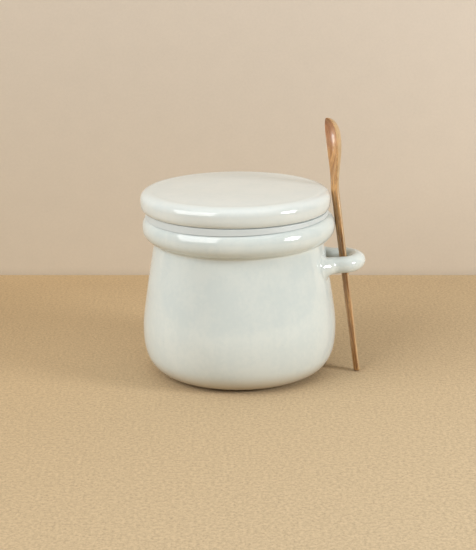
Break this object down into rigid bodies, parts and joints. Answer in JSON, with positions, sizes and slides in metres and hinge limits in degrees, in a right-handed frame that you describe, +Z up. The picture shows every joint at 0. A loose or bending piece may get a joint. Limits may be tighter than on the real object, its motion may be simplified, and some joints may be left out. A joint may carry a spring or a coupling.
{
  "type": "stoneware storage jar",
  "caption": "Round glazed jar with rolled rim and side loop, thick lid on a sealing ring, and a wooden spoon standing in the loop.",
  "frame": {"origin": "on the jar's axis, at the middle of its flat foot", "axes": "+Z up the jar's axis, +X towards the loop and the spoon, +Y to the back of the jar as pictured"},
  "size_m": [0.1161, 0.1, 0.1303],
  "materials": {
    "glazed_stoneware": "pale grey-green gloss glaze with a few iron specks, bare clay under the foot",
    "glazed_lid": "pale gloss glaze, slightly warmer than the jar",
    "white_seal": "matt white silicone",
    "oiled_wood": "oiled mid-brown wood with fine long grain"
  },
  "bodies": {
    "root": {"jar": "glazed_stoneware", "lid": "glazed_lid", "seal_ring": "white_seal", "spoon": "oiled_wood"}
  },
  "joints": []
}
